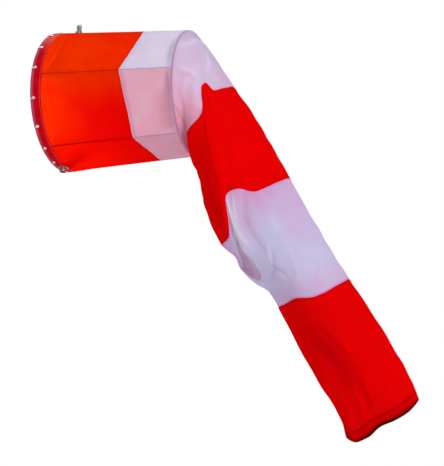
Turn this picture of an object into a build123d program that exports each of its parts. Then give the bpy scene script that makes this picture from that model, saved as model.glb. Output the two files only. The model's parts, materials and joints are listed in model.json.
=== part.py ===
"""Windsock on its pole top: a swivelling wire frame on two ball bearings, with a five-band
nylon sock laced to its mouth hoop and hanging from its rear hoop.

Frame: +Z up, +X downwind, origin at the centre of the mast socket's lower face.
"""
from build123d import *
import math
import os

# Sock, measured from the mouth plane along the sock axis
MOUTH_RADIUS = 300.0
REAR_RADIUS = 261.0
FRAME_LENGTH = 603.0
AXIS_HEIGHT = 318.0
MOUTH_X = -30.0
HEM_WIDTH = 46.0
SEAM_1 = 405.0
CLOTH = 0.8
FLATNESS = 0.12  # bulge of a panel between two stays: 0 is flat, 1 is round
STAYS = 6

# Hanging tail, measured from the top of the rear hoop along the droop direction
DROOP = 58.6
BAND_LENGTH = 480.0
SEAM_2 = 300.0
SEAM_2_TILT = 31.0  # the pole side of a tilted seam lies further along
SEAM_3_TILT = 15.0
EXIT = 1764.0
EXIT_HEM = 24.0
SKY_EDGE = 24.0  # how far the tail's sky edge stands proud of the line from the hoop's top
TAIL_LAG = 10.0  # how far the outer half sags when the tail is fully lifted
LAG_CLEARANCE = 0.6
TAIL_GAP = 0.4
# distance along the tail, edge towards the sky, edge towards the pole, half width across
TAIL_SECTIONS = (
    (0.0, 0.0, -272.0, 260.0),
    (130.0, 24.0, -272.0, 258.0),
    (400.0, 24.0, -284.0, 246.0),
    (820.0, 24.0, -332.0, 190.0),
    (1240.0, 22.0, -264.0, 150.0),
    (EXIT, 18.0, -266.0, 46.0),
)

# Wire frame
HOOP_WIRE = 5.0
HOOP_SINK = 8.0  # hoop and stay centres below the outside of the cloth
HOOP_X = -24.0
STAY_RADIUS = 4.5
STAY_BORE = 3.5
SPIGOT_LENGTH = 28.0
SCREW_RADIUS = 1.5

# Spindle, heights from the socket's lower face
SOCKET_RADIUS = 15.0
SOCKET_BORE = 10.05
SOCKET_DEPTH = 48.0
SET_SCREW = 2.5
SET_SCREW_HEIGHT = 9.0
SHAFT_RADIUS = 10.0
SEAT_RADIUS = 8.5
STUD_RADIUS = 7.0
LOWER_SHOULDER = 56.0
UPPER_SHOULDER = AXIS_HEIGHT + 244.0
COLLAR_BASE = AXIS_HEIGHT + 304.0
COLLAR_TOP = AXIS_HEIGHT + 346.0
STUD_TOP = AXIS_HEIGHT + 371.0
CAP_TOP = AXIS_HEIGHT + 378.0
NUT_FLATS = 22.0
JAM_NUT = 7.0
CAP_HEXAGON = 10.0
FIT = 0.02

# Ball bearings: bore, outside radius, width, ball radius, balls
LOWER_BEARING = (10.0, 21.0, 12.0, 3.175, 9)
UPPER_BEARING = (8.5, 17.5, 10.0, 2.38, 10)
HOUSING_RADIUS = 28.0
LOWER_CUP_RIM = LOWER_SHOULDER - 10.0
UPPER_CUP_BASE = UPPER_SHOULDER - 9.0
UPPER_CUP_RIM = UPPER_SHOULDER + UPPER_BEARING[2] + 8.0
UPPER_GROOVE = UPPER_SHOULDER + UPPER_BEARING[2] + 0.5
TUBE_RADIUS = 19.0
TUBE_BORE = 17.0
PLATE = 6.0
CIRCLIP = 1.5
SEAL = 4.0

# Pole holes in the hem
POLE_HOLE = 18.5
GROMMET_FLANGE = 23.0
FLANGE_THICKNESS = 1.2
SLEEVE_LENGTH = 4.4
UPPER_GROMMET_BORE = 14.0
LOWER_GROMMET_BORE = 17.0

# Lacing
EYELET_FROM_EDGE = 14.5
EYELET_HOLE = 3.2
EYELET_RADIUS = 6.0
EYELET_GAPS = (21.0, 21.0, 21.0, 21.0, 25.0, 22.5, 20.0, 17.5)  # from the pole down each side
TIE_RADIUS = 1.5
TIE_LOOP = (18.5, 18.0, 4.0)  # along the sock, across the hem, corner radius
TIE_SKEW = 24.0

TAPER = (MOUTH_RADIUS - REAR_RADIUS) / FRAME_LENGTH
SLOPE = math.degrees(math.atan(TAPER))
REAR_X = MOUTH_X + FRAME_LENGTH
REAR_HOOP_X = REAR_X - HOOP_SINK
HINGE_X = REAR_X + TAIL_GAP
HINGE_Z = AXIS_HEIGHT + REAR_RADIUS
ALONG = Vector(math.cos(math.radians(DROOP)), 0, -math.sin(math.radians(DROOP)))
ACROSS = Vector(math.sin(math.radians(DROOP)), 0, math.cos(math.radians(DROOP)))


def save(name, *shapes):
    """Writes one node, a group of separate solids where several shapes are given."""
    solids = [solid for shape in shapes for solid in shape.solids()]
    shape = solids[0] if len(solids) == 1 else Compound(solids)
    export_step(shape, f"parts/{name}.step")


def radius_at(x):
    """Outside radius of the sock over a stay."""
    return MOUTH_RADIUS - TAPER * (x - MOUTH_X)


def on_axis(shape, x=0.0):
    """Places a shape drawn round the origin on the sock axis."""
    return Pos(x, 0, AXIS_HEIGHT) * shape


def disc(radius, low, high):
    """A solid cylinder on the spindle axis."""
    return Pos(0, 0, (low + high) / 2) * Cylinder(radius, high - low)


def ring(outer, inner, low, high):
    """A tube on the spindle axis."""
    return disc(outer, low, high) - disc(inner, low - 1, high + 1)


def turned(*profile):
    """A solid turned about the spindle axis from (radius, height) points."""
    return revolve(Plane.XZ * make_face(Polyline(*profile, close=True)), Axis.Z)


def around(shape, angle):
    """Turns a shape on the sock axis to an angle up from the +Y side."""
    return Pos(0, 0, AXIS_HEIGHT) * Rot(angle, 0, 0) * shape


# Spindle and what is clamped on it


def spindle():
    body = turned(
        (0, SOCKET_DEPTH), (SOCKET_BORE, SOCKET_DEPTH), (SOCKET_BORE, 0), (SOCKET_RADIUS - 1, 0),
        (SOCKET_RADIUS, 1), (SOCKET_RADIUS, LOWER_SHOULDER), (SHAFT_RADIUS, LOWER_SHOULDER),
        (SHAFT_RADIUS, UPPER_SHOULDER), (SEAT_RADIUS, UPPER_SHOULDER), (SEAT_RADIUS, COLLAR_TOP - 1),
        (STUD_RADIUS, COLLAR_TOP - 1), (STUD_RADIUS, STUD_TOP - 1), (STUD_RADIUS - 1, STUD_TOP),
        (0, STUD_TOP),
    )
    for hole in set_screw_places():
        body -= hole * Cylinder(SET_SCREW, 20)
    return body


def set_screw_places():
    """Centres of three radial set screws through the socket wall, below the sock."""
    middle = (SOCKET_RADIUS + SOCKET_BORE) / 2
    return [Rot(0, 0, turn) * Pos(middle, 0, SET_SCREW_HEIGHT) * Rot(0, 90, 0) for turn in (60, 180, 300)]


def set_screw():
    length = SOCKET_RADIUS - SOCKET_BORE - 0.6
    hexagon = Pos(0, 0, length / 2 - 2) * extrude(RegularPolygon(1.4, 6), 2)
    return Cylinder(SET_SCREW - 0.04, length) - hexagon


def nut(low, high, bore):
    corner = NUT_FLATS / math.sqrt(3)
    prism = Pos(0, 0, low) * extrude(RegularPolygon(corner, 6) - Circle(bore), high - low)
    bevel = 1.2
    cone = turned(
        (0, low), (corner - bevel, low), (corner + 0.1, low + bevel), (corner + 0.1, high - bevel),
        (corner - bevel, high), (0, high),
    )
    return prism & cone


def cap_nut():
    """Hexagon with a dome, bored blind over the end of the stud."""
    low = COLLAR_TOP + JAM_NUT
    shoulder = low + CAP_HEXAGON
    dome = NUT_FLATS / 2 - 0.5
    corner = NUT_FLATS / math.sqrt(3)
    prism = Pos(0, 0, low) * extrude(RegularPolygon(corner, 6), shoulder - low)
    straight = CAP_TOP - shoulder - dome
    barrel = Pos(0, 0, shoulder) * extrude(Circle(dome), straight)
    cap = Pos(0, 0, shoulder + straight) * Sphere(dome)
    return prism + barrel + cap - disc(STUD_RADIUS + FIT, low - 5, STUD_TOP + 0.4)


def collar():
    """Flared rain collar over the upper pole grommet."""
    bore = SEAT_RADIUS + FIT
    return turned(
        (bore, COLLAR_BASE), (16.4, COLLAR_BASE), (16.4, COLLAR_BASE + 20), (15.6, COLLAR_TOP - 9),
        (12.8, COLLAR_TOP - 2), (12.2, COLLAR_TOP), (STUD_RADIUS + FIT, COLLAR_TOP),
        (STUD_RADIUS + FIT, COLLAR_TOP - 0.8), (bore, COLLAR_TOP - 0.8),
    )


# Bearings


def race(bearing, low, inner):
    """One race with its ball groove."""
    bore, outside, width, ball, _ = bearing
    pitch = (bore + outside) / 2
    land = ball * 0.55
    if inner:
        blank = ring(pitch - land, bore + FIT, low, low + width)
    else:
        blank = ring(outside - FIT, pitch + land, low, low + width)
    return blank - Pos(0, 0, low + width / 2) * Torus(pitch, ball * 1.02)


def ball_places(bearing, low):
    bore, outside, width, _, count = bearing
    pitch = (bore + outside) / 2
    return [Rot(0, 0, 360 * i / count) * Pos(pitch, 0, low + width / 2) for i in range(count)]


def cage(bearing, low):
    """Band with a round pocket for each ball."""
    bore, outside, width, ball, _ = bearing
    pitch = (bore + outside) / 2
    band = ball * 0.3
    body = ring(pitch + band, pitch - band, low + 1.2, low + width - 1.2)
    pocket = Rot(0, 90, 0) * Cylinder(ball + 0.12, 8 * band)
    return body - [place * pocket for place in ball_places(bearing, low)]


def save_bearing(name, bearing, low):
    ball = bearing[3]
    save(f"{name}_inner_race", race(bearing, low, True))
    save(f"{name}_outer_race", race(bearing, low, False))
    save(f"{name}_balls", *[place * Sphere(ball) for place in ball_places(bearing, low)])
    save(f"{name}_cage", cage(bearing, low))


# Swivelling frame


def lower_housing():
    """Cup open downwards: its top plate rests on the outer race."""
    top = LOWER_SHOULDER + LOWER_BEARING[2]
    seat = LOWER_BEARING[1]
    body = ring(HOUSING_RADIUS, TUBE_BORE, LOWER_CUP_RIM, top + PLATE)
    body -= disc(seat, LOWER_CUP_RIM - 1, top)
    body -= disc(seat + 1, LOWER_SHOULDER - CIRCLIP - FIT, LOWER_SHOULDER - FIT)
    return chamfer(body.edges().filter_by(GeomType.CIRCLE).sort_by(Axis.Z)[-1], 1.2)


def upper_housing():
    """Cup open upwards, with a preload washer under the outer race."""
    seat = UPPER_BEARING[1]
    body = ring(HOUSING_RADIUS, seat, UPPER_CUP_BASE, UPPER_CUP_RIM)
    body += ring(seat + 1, 15, UPPER_CUP_BASE, UPPER_CUP_BASE + PLATE)
    return body - disc(seat + 1, UPPER_GROOVE, UPPER_GROOVE + CIRCLIP)


def circlip(seat, low):
    """Split retaining ring in a housing groove."""
    body = ring(seat + 0.9, seat - 3, low + 0.1, low + CIRCLIP - 0.1)
    return body - Pos(0, seat, low) * Box(4, 12, 10)


def hoop_bracket(low, high, reach):
    """Saddle block between a housing face and the mouth hoop."""
    depth = 15.0
    block = Pos(HOOP_X - 8 + depth / 2, 0, (low + high) / 2) * Box(depth, 24, high - low)
    block = fillet(block.edges().filter_by(Axis.Z), 3)
    return block - wire_ring(HOOP_X) - disc(reach, low - 1, high + 1)


def stay_frame(turn):
    """Frame whose X runs along one stay's centre line from the mouth hoop's plane."""
    start = radius_at(HOOP_X) - HOOP_SINK
    return around(Pos(HOOP_X, start, 0) * Rot(0, 0, -SLOPE), turn)


def stay_turns():
    return [360 / STAYS * i for i in range(STAYS)]


def stay_span():
    return (REAR_HOOP_X - HOOP_X) / math.cos(math.radians(SLOPE))


def rod(radius, start, end):
    """A bar along X."""
    return Pos((start + end) / 2, 0, 0) * Rot(0, 90, 0) * Cylinder(radius, end - start)


def screw_places():
    """Distances along a stay of its two cross screws."""
    return (18.0, stay_span() - 18.0)


def screw_hole(along):
    """Radial hole from the inner side of a stay to beyond its middle."""
    return Pos(along, -1.5, 0) * Rot(90, 0, 0) * Cylinder(SCREW_RADIUS, 7)


def wire_ring(x, clear=0.0):
    """Bare ring of hoop wire just inside the sock."""
    return on_axis(Rot(0, 90, 0) * Torus(radius_at(x) - HOOP_SINK, HOOP_WIRE + clear), x)


def hoop(x, start, end):
    """Wire hoop with a spigot for each stay."""
    spigot = rod(STAY_BORE - 0.05, start, end)
    for along in screw_places():
        spigot -= screw_hole(along)
    return wire_ring(x).fuse(*[stay_frame(turn) * spigot for turn in stay_turns()])


def stay(turn):
    """Tube over the hoops' spigots, held by a cross screw at each end."""
    clear = HOOP_WIRE + 0.8
    length = stay_span()
    tube = rod(STAY_RADIUS, clear, length - clear) - rod(STAY_BORE, 0, length)
    for along in screw_places():
        tube -= screw_hole(along)
    return stay_frame(turn) * tube


def stay_screw(along):
    """Button-head screw on the inner side of a stay."""
    shank = Pos(along, -2.4, 0) * Rot(90, 0, 0) * Cylinder(SCREW_RADIUS - 0.03, 4.4)
    head = Pos(along, -STAY_RADIUS - 0.75, 0) * Rot(90, 0, 0) * Cylinder(2.8, 1.5)
    return shank + head


# Sock on the frame


def panel_section(x, inset, bulge):
    """Six-panel section of the sock, corners over the stays, as a face across X."""
    corner = radius_at(x) - inset
    flat = math.cos(math.pi / STAYS)
    middle = corner * (flat + (1 - flat) * bulge)
    edges = []
    for turn in stay_turns():
        ends = [polar(corner, turn), polar(middle, turn + 180 / STAYS), polar(corner, turn + 360 / STAYS)]
        edges.append(ThreePointArc(*[(x, y, z) for y, z in ends]))
    return Face(Wire(edges))


def polar(radius, turn):
    angle = math.radians(turn)
    return radius * math.cos(angle), radius * math.sin(angle)


def panels(stations):
    """Hollow six-panel stretch of the sock through (x, bulge) stations."""
    outer = loft([panel_section(x, 0, bulge) for x, bulge in stations], ruled=True)
    inner = loft([panel_section(x, CLOTH, bulge) for x, bulge in stations], ruled=True)
    return on_axis(outer - inner)


def round_band(start, end):
    """Hollow round stretch of the sock."""
    r0, r1 = radius_at(start), radius_at(end)
    profile = Polyline(
        (start, r0), (end, r1), (end, r1 - CLOTH), (start, r0 - CLOTH), close=True
    )
    return on_axis(revolve(make_face(profile), Axis.X))


def pole_hole(above):
    """Cutter for the cloth where the pole passes the hem."""
    height = MOUTH_RADIUS if above else -MOUTH_RADIUS
    return Pos(0, 0, AXIS_HEIGHT + height) * Cylinder(POLE_HOLE, 60)


def grommet(above, bore):
    """Two-flanged ring in the hem, square to the cloth."""
    side = 1 if above else -1
    height = radius_at(0)
    sleeve = Cylinder(POLE_HOLE - 0.1, SLEEVE_LENGTH) - Cylinder(bore, 10)
    flange = Cylinder(GROMMET_FLANGE, FLANGE_THICKNESS) - Cylinder(bore, 10)
    outer, inner = Pos(0, 0, 1.7) * flange, Pos(0, 0, -3.2) * flange
    whole = Rot(0, 0 if above else 180, 0) * (Pos(0, 0, -0.75) * sleeve + outer + inner)
    placed = on_axis(Pos(0, 0, side * height) * Rot(0, side * SLOPE, 0) * whole)
    return placed - wire_ring(HOOP_X, 0.3)


def eyelet_turns():
    """Angles of the eyelets, down each side of the hem from the pole at the top."""
    turns, angle = [], 90.0
    for gap in EYELET_GAPS:
        angle -= gap
        turns += [angle, 180 - angle]
    return turns


def on_hem(shape, turn):
    """Places a shape drawn with +Z outwards and +X aft on the hem at an eyelet."""
    x = MOUTH_X + EYELET_FROM_EDGE
    out = radius_at(x)
    return on_axis(Rot(turn - 90, 0, 0) * Pos(x, 0, out) * Rot(0, SLOPE, 0) * shape)


def eyelet():
    middle = Pos(0, 0, -CLOTH / 2)
    body = middle * (Cylinder(EYELET_RADIUS, 3.2) - Cylinder(EYELET_HOLE, 4))
    return body - middle * (Cylinder(20, CLOTH + 0.5) - Cylinder(EYELET_HOLE + 0.9, 4))


def lacing_tie():
    """Closed cord loop through an eyelet, over the mouth edge and round the hoop."""
    width, height, corner = TIE_LOOP
    loop = Wire(RectangleRounded(width, height, corner).edges())
    section = Plane(origin=loop @ 0, z_dir=loop % 0) * Circle(TIE_RADIUS)
    body = sweep(section, path=loop)
    upright = Pos(-width / 2 - 0.3, 0, 3.0 - height / 2) * Rot(90, 0, 0) * body
    return Rot(0, 0, TIE_SKEW) * upright


def hoop_casing():
    """Cloth tunnel round the rear hoop, in six lengths between the stays."""
    centre = radius_at(REAR_HOOP_X) - HOOP_SINK
    gap = math.degrees((STAY_RADIUS + 1.5) / centre)
    wall = Circle(HOOP_SINK - CLOTH - 0.1) - Circle(HOOP_SINK - CLOTH - 0.8)
    span = 360 / STAYS - 2 * gap
    length = revolve(Plane.XY * Pos(0, centre) * wall, Axis.X, revolution_arc=span)
    return [on_axis(Rot(turn + gap, 0, 0) * Pos(REAR_HOOP_X, 0, 0) * length) for turn in stay_turns()]


# Hanging tail


def tail_point(along, across=0.0):
    return Vector(HINGE_X, 0, HINGE_Z) + ALONG * along + ACROSS * across


def tail_section(along, sky, pole, half, inset):
    """Oval across the tail at one distance from the hinge."""
    middle = tail_point(along, (sky + pole) / 2)
    plane = Plane(origin=middle, x_dir=(0, 1, 0), z_dir=ALONG)
    return plane * Ellipse(half - inset, (sky - pole) / 2 - inset)


def tail_tube(extra=0.0):
    """Whole tail as one hollow tube, before it is cut at its seams."""
    outer = loft([tail_section(*row, -extra) for row in TAIL_SECTIONS], ruled=True)
    inner = loft([tail_section(*row, CLOTH) for row in TAIL_SECTIONS], ruled=True)
    return outer - inner


def seam_plane(along, tilt=0.0):
    """Plane across the tail through a point of its sky edge."""
    angle = math.radians(tilt)
    normal = ALONG * math.cos(angle) + ACROSS * math.sin(angle)
    return Plane(origin=tail_point(along, SKY_EDGE), x_dir=(0, 1, 0), z_dir=normal)


def between(tube, start, end):
    """The stretch of a tube on the far side of one plane and the near side of another."""
    far = split(tube, bisect_by=start, keep=Keep.TOP)
    return split(far, bisect_by=end, keep=Keep.BOTTOM)


def save_tail():
    seam_3 = SEAM_2 + BAND_LENGTH
    seam_4 = seam_3 + BAND_LENGTH
    tube = tail_tube()
    rear = Plane(origin=(HINGE_X, 0, 0), z_dir=(1, 0, 0))
    second_end = seam_plane(SEAM_2, SEAM_2_TILT)
    save("sock_band_2_bend", between(tube, rear, second_end))
    save("sock_band_3", between(tube, second_end, seam_plane(seam_3, SEAM_3_TILT)))
    fourth_start = seam_plane(seam_3 + TAIL_GAP, SEAM_3_TILT + TAIL_LAG + LAG_CLEARANCE)
    save("sock_band_4", between(tube, fourth_start, seam_plane(seam_4)))
    hem_start = seam_plane(EXIT - EXIT_HEM)
    save("sock_band_5", between(tube, seam_plane(seam_4 + TAIL_GAP), hem_start))
    save("exit_hem", between(tail_tube(0.8), hem_start, seam_plane(EXIT + 50)))


def save_pole_top():
    save("spindle", spindle())
    save("socket_set_screws", *[place * set_screw() for place in set_screw_places()])
    save("collar_sleeve", ring(11.5, SEAT_RADIUS + FIT, UPPER_SHOULDER + UPPER_BEARING[2], COLLAR_BASE))
    save("rain_collar", collar())
    save("jam_nut", nut(COLLAR_TOP, COLLAR_TOP + JAM_NUT, STUD_RADIUS + FIT))
    save("cap_nut", cap_nut())


def save_swivel():
    lower_top = LOWER_SHOULDER + LOWER_BEARING[2] + PLATE
    lower_seat = LOWER_BEARING[1] - FIT
    upper_seat = UPPER_BEARING[1] - FIT
    save("lower_bearing_housing", lower_housing())
    save("upper_bearing_housing", upper_housing())
    save("swivel_tube", ring(TUBE_RADIUS, TUBE_BORE, lower_top, UPPER_CUP_BASE))
    save("lower_circlip", circlip(LOWER_BEARING[1], LOWER_SHOULDER - CIRCLIP - FIT))
    save("upper_circlip", circlip(UPPER_BEARING[1], UPPER_GROOVE))
    save("lower_seal", ring(lower_seat, SOCKET_RADIUS + 0.4, LOWER_CUP_RIM + 1, LOWER_CUP_RIM + 1 + SEAL))
    save("upper_seal", ring(upper_seat, 11.9, UPPER_CUP_RIM - SEAL, UPPER_CUP_RIM))
    washer = ring(upper_seat, 14.2, UPPER_CUP_BASE + PLATE, UPPER_SHOULDER - FIT)
    save("preload_washer", washer)
    reach = radius_at(HOOP_X) - HOOP_SINK
    save("lower_hoop_bracket", hoop_bracket(AXIS_HEIGHT - reach, LOWER_CUP_RIM, SOCKET_RADIUS + 0.8))
    save("upper_hoop_bracket", hoop_bracket(UPPER_CUP_RIM, AXIS_HEIGHT + reach, 12.3))
    save("mouth_hoop", hoop(HOOP_X, 1, SPIGOT_LENGTH))
    save("rear_hoop", hoop(REAR_HOOP_X, stay_span() - SPIGOT_LENGTH, stay_span() - 1))
    for index, turn in enumerate(stay_turns(), start=1):
        save(f"stay_{index}", stay(turn))
    screws = [stay_frame(turn) * stay_screw(along) for turn in stay_turns() for along in screw_places()]
    save("stay_screws", *screws)


def save_sock_on_frame():
    hem_end = MOUTH_X + HEM_WIDTH
    seam = MOUTH_X + SEAM_1
    holes = pole_hole(True) + pole_hole(False)
    hem = round_band(MOUTH_X, hem_end)
    for turn in eyelet_turns():
        hem -= on_hem(Cylinder(EYELET_HOLE + 1, 20), turn)
    save("mouth_hem", hem - holes)
    fades = ((hem_end, 1.0), (hem_end + 20, 1.0), (100.0, 0.4), (180.0, FLATNESS), (seam, FLATNESS))
    save("sock_band_1", panels(fades) - holes)
    rear = ((seam, FLATNESS), (440.0, FLATNESS), (510.0, 0.35), (REAR_X - 12, 1.0), (REAR_X, 1.0))
    save("sock_band_2", panels(rear))
    save("pole_grommets", grommet(True, UPPER_GROMMET_BORE), grommet(False, LOWER_GROMMET_BORE))
    save("hem_eyelets", *[on_hem(eyelet(), turn) for turn in eyelet_turns()])
    save("lacing_ties", *[on_hem(lacing_tie(), turn) for turn in eyelet_turns()])
    save("rear_hoop_casing", *hoop_casing())


os.makedirs("parts", exist_ok=True)
save_pole_top()
save_bearing("lower_bearing", LOWER_BEARING, LOWER_SHOULDER)
save_bearing("upper_bearing", UPPER_BEARING, UPPER_SHOULDER)
save_swivel()
save_sock_on_frame()
save_tail()
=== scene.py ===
"""Looks of the windsock: cloth sock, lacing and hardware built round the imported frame."""
import json
import math

import bpy
import numpy as np
from mathutils import Matrix, Vector


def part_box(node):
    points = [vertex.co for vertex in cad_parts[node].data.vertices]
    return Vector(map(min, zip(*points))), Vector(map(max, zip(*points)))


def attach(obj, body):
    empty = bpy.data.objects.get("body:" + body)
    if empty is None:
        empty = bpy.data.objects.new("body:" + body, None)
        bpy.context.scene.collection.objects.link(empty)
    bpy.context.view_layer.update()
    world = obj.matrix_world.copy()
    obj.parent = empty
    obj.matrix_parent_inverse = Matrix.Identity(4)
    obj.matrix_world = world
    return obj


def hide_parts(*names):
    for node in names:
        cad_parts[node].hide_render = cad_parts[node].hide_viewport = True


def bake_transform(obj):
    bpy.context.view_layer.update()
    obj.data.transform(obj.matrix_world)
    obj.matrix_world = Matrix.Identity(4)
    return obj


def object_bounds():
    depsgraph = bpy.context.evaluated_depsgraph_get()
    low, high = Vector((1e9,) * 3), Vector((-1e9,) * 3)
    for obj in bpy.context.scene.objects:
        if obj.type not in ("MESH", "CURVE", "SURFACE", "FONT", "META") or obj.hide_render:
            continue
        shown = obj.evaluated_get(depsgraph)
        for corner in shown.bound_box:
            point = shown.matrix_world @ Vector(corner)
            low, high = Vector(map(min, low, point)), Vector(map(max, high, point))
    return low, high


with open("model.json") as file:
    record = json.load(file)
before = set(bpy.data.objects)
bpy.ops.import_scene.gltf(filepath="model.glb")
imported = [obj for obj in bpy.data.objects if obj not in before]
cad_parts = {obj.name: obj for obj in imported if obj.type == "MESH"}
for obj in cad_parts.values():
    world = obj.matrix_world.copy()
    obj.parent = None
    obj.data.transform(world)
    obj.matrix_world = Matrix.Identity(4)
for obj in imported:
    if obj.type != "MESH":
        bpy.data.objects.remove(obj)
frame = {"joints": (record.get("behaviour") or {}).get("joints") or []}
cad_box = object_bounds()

# Frame of the sock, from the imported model
JOINTS = {joint["name"]: joint for joint in frame["joints"]}
hem_low, hem_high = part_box("mouth_hem")
AXIS_Z = (hem_low.z + hem_high.z) / 2
MOUTH_X = hem_low.x
MOUTH_R = (hem_high.z - hem_low.z) / 2
HEM = hem_high.x - hem_low.x
HINGE = Vector(JOINTS["tail_lift"]["pos_m"])
REAR_R = HINGE.z - AXIS_Z
DROOP = math.radians(JOINTS["tail_lift"]["range_deg"][1])
FRAME_LENGTH = HINGE.x - MOUTH_X
SEAM_1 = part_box("sock_band_2")[0].x - MOUTH_X
STAYS = 6
STAY_SPAN = math.pi / STAYS
ALONG = np.array([math.cos(DROOP), 0.0, -math.sin(DROOP)])
ACROSS = np.array([math.sin(DROOP), 0.0, math.cos(DROOP)])
SIDEWAYS = np.array([0.0, 1.0, 0.0])

# Tail, in metres of cloth beyond the rear hoop
EXIT = 1.764
EXIT_R = 0.100
HEM_FOLD = 0.026
LIP = 0.003
ROW_STEP = 0.004
TAIL_COLUMNS = 240
HALF = 6.0  # a ring's half is counted from 0 at the sky edge to 6 at the pole edge
LAP = 0.006  # white cloth that runs on under a red band
CLOTH_GAP = 0.0009  # how far a red band stands off the white under it
SEWN_ON = 0.0012  # how far the exit hem stands off the tail
LIP_ROLL = 0.005
LIP_TURN = 0.02  # hem turned in past the lip

# Rings of the hanging tail. Each is half a ring, from the sky edge round the near side
# to the pole edge, as (along the tail, towards the sky, sideways) in millimetres.
RINGS = (
    (0.110, ((108, 11, 0), (135, -2, -112), (200, -38, -190), (270, -98, -234), (345, -166, -213),
             (400, -215, -120), (412, -232, 0))),
    (0.210, ((208, 16, 0), (228, 0, -98), (270, -42, -178), (330, -102, -217), (392, -153, -199),
             (430, -224, -136), (455, -258, 0))),
    (0.300, ((298, 19, 0), (320, -6, -84), (343, -50, -160), (385, -105, -190), (428, -144, -186),
             (466, -232, -150), (490, -280, 0))),
    (0.420, ((418, 28, 0), (436, -12, -80), (462, -60, -150), (500, -120, -180), (545, -162, -184),
             (590, -244, -140), (584, -292, 0))),
    (0.600, ((598, 29, 0), (612, -20, -72), (630, -75, -135), (648, -130, -162), (668, -190, -170),
             (720, -278, -112), (700, -326, 0))),
    (0.780, ((780, 25, 0), (795, -30, -62), (800, -100, -120), (772, -150, -150), (775, -213, -152),
             (890, -277, -137), (868, -338, 0))),
    (0.900, ((900, 20, 0), (914, -30, -62), (920, -100, -118), (900, -160, -140), (905, -236, -144),
             (988, -290, -66), (964, -307, 0))),
    (1.020, ((1018, 20, 0), (1034, -26, -66), (1040, -88, -118), (1034, -150, -134),
             (1030, -216, -120), (1052, -283, -64), (1044, -308, 0))),
    (1.140, ((1138, 19, 0), (1152, -22, -70), (1162, -80, -116), (1158, -136, -128),
             (1140, -194, -110), (1140, -246, -60), (1138, -265, 0))),
    (1.260, ((1258, 23, 0), (1270, -20, -72), (1281, -72, -112), (1279, -128, -122),
             (1260, -174, -108), (1243, -222, -64), (1222, -263, 0))),
    (1.400, ((1398, 30, 0), (1410, -14, -66), (1418, -72, -100), (1412, -130, -104),
             (1396, -184, -90), (1382, -230, -50), (1370, -267, 0))),
    (1.560, ((1558, 33, 0), (1566, -20, -46), (1572, -76, -66), (1566, -134, -66),
             (1554, -188, -56), (1546, -234, -34), (1542, -266, 0))),
    (1.680, ((1680, 28, 0), (1688, -28, -32), (1694, -88, -44), (1690, -148, -44),
             (1686, -202, -36), (1676, -240, -22), (1670, -258, 0))),
    (1.764, ((1763, 18, 0), (1779, -38, -22), (1780, -94, -28), (1775, -156, -27),
             (1786, -210, -23), (1780, -256, -15), (1752, -275, 0))),
)

# The first seam is drawn forward over the near stay: (degrees from the far side over the top,
# metres back).
SEAM_1_PULL = ((0, 0), (60, 0), (120, 0.002), (180, -0.028), (240, -0.001), (300, 0.014), (360, 0))
# Where the other seams run round the near side: (half-ring place, metres beyond the hoop).
# At the second seam a knob of slack stands up, and the pole side is drawn in to the hoop's foot.
SEAM_2 = ((0, 0.306), (0.6, 0.305), (1.2, 0.309), (1.7, 0.314), (1.98, 0.312), (2.1, 0.298),
          (2.18, 0.274), (2.28, 0.256), (2.4, 0.248), (2.6, 0.245), (2.75, 0.256), (2.9, 0.284),
          (3.1, 0.302), (3.7, 0.309), (4.2, 0.300), (4.5, 0.286), (4.8, 0.268), (5.1, 0.240),
          (5.25, 0.19), (5.4, 0.09), (6, 0.012))
SEAM_3 = ((0, 0.780), (0.9, 0.774), (1.7, 0.781), (2.3, 0.790), (2.6, 0.790), (3.1, 0.779),
          (3.8, 0.774), (4.15, 0.770), (4.3, 0.784), (4.5, 0.801), (5.0, 0.796), (5.6, 0.790),
          (6, 0.788))
SEAM_4 = ((0, 1.258), (0.6, 1.262), (1.25, 1.264), (2.0, 1.264), (2.7, 1.260), (3.4, 1.252),
          (4.1, 1.246), (5, 1.245), (6, 1.246))
HOOP_EDGE = ((0, 0.0), (6, 0.0))
HEM_EDGE = ((0, EXIT - HEM_FOLD), (6, EXIT - HEM_FOLD))
EXIT_EDGE = ((0, EXIT - LIP), (6, EXIT - LIP))
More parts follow.
